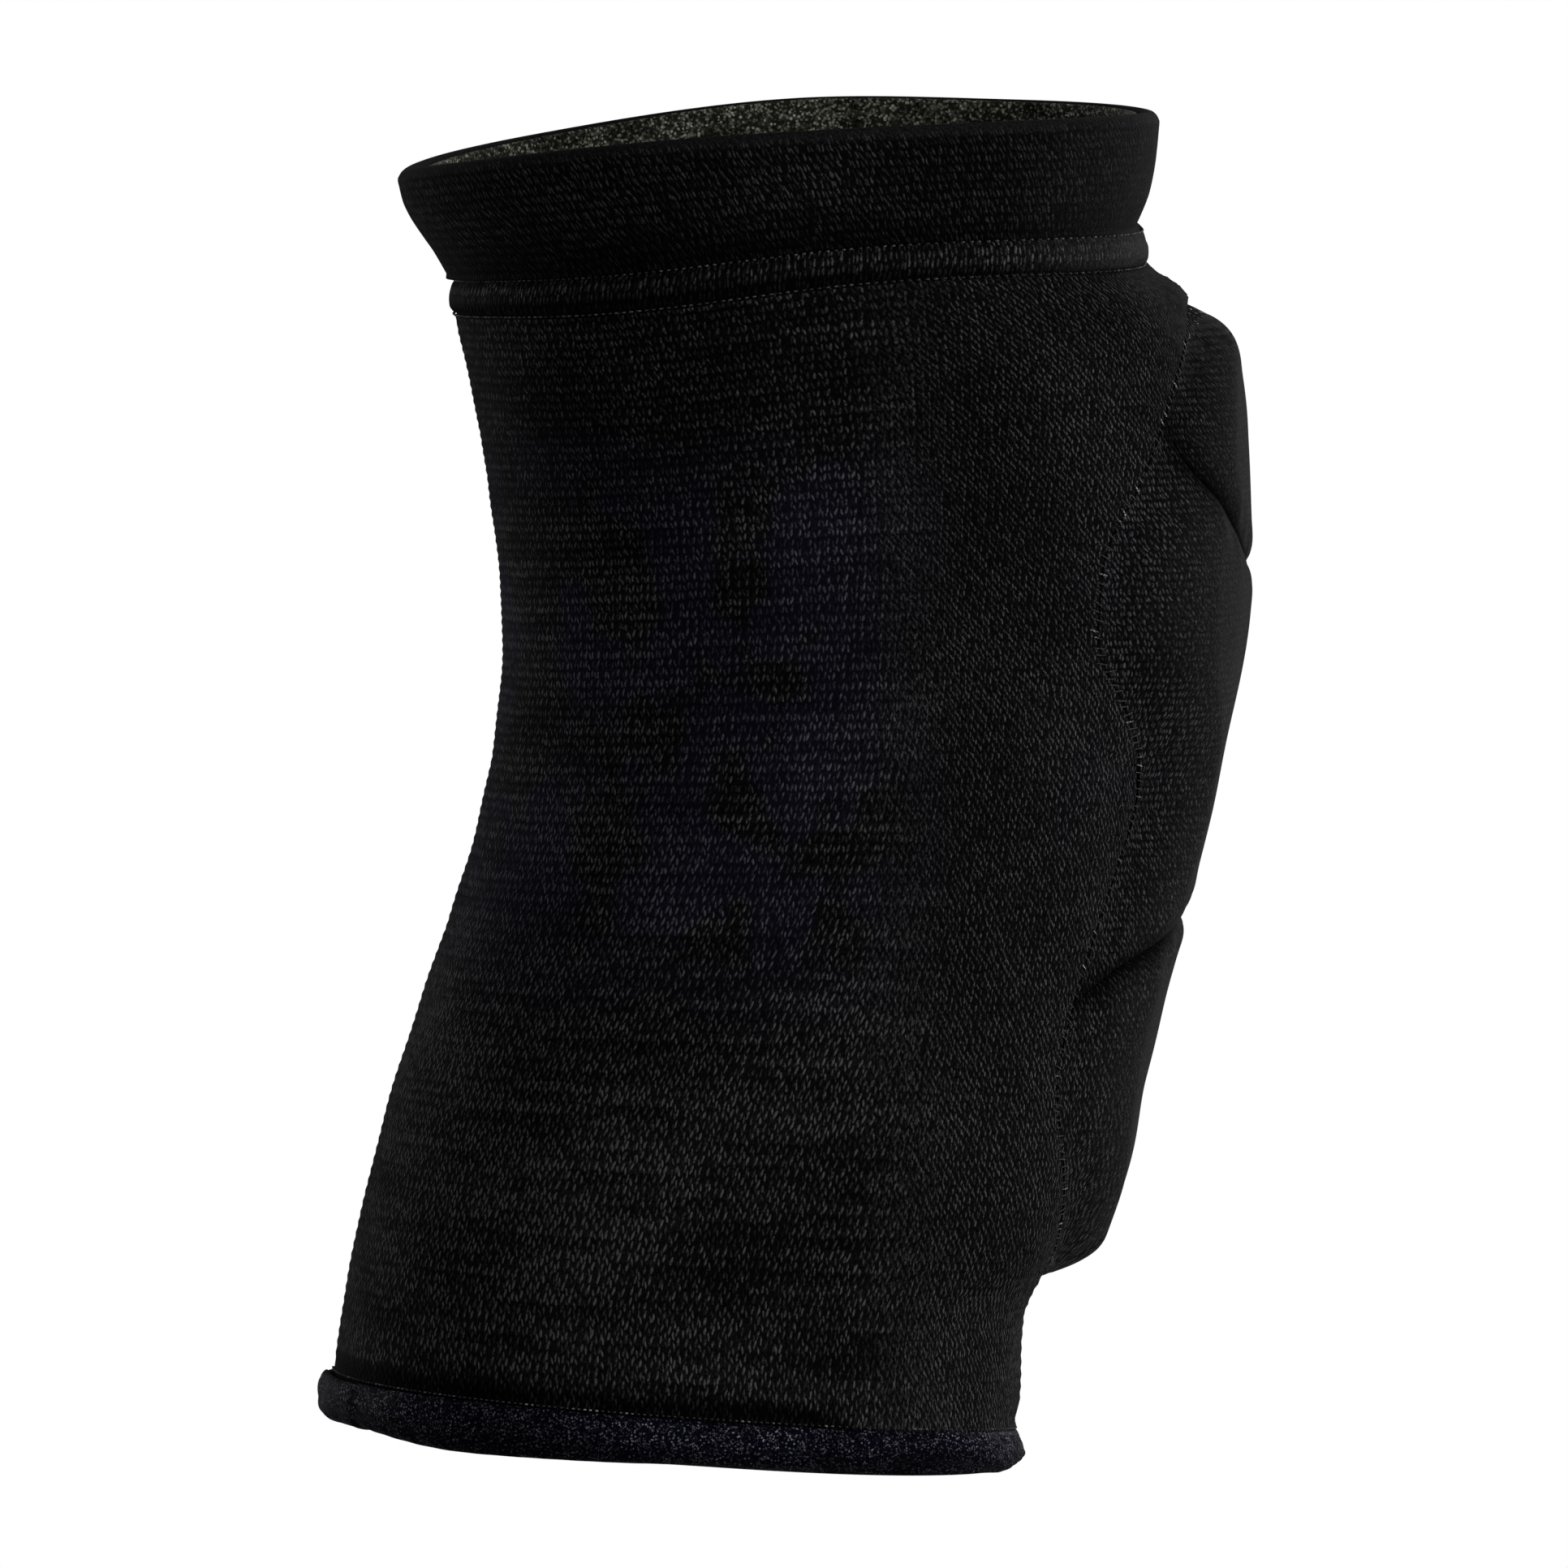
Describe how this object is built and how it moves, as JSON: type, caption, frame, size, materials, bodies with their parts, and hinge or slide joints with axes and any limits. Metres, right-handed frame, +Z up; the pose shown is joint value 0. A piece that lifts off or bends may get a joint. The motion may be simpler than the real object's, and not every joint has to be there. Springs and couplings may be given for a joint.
{
  "type": "volleyball knee pad",
  "caption": "Knitted knee sleeve bent to the worn shape, with padded lobes over the kneecap, a flared top cuff on a raised welt and a folded hem band.",
  "frame": {"origin": "on the leg's axis, halfway up the knee pad as it is worn", "axes": "+Z up the leg, +X to the front of the knee, +Y to the side"},
  "size_m": [0.149, 0.1216, 0.2161],
  "materials": {
    "knit": "black plain knit with visible courses and wales, matt",
    "padded_knit": "black knit stretched over foam, matt with a soft sheen on the crown",
    "cuff_knit": "black fine knit, doubled, matt",
    "elastic": "black woven elastic with fine shiny threads",
    "satin": "blue-black satin binding with fine bright flecks"
  },
  "bodies": {
    "root": {"sleeve": "knit", "pad_lower": "padded_knit", "pad_middle": "padded_knit", "pad_upper": "padded_knit", "cuff_band": "cuff_knit", "cuff_welt": "cuff_knit", "cuff_facing": "elastic", "hem_band": "satin"}
  },
  "joints": []
}
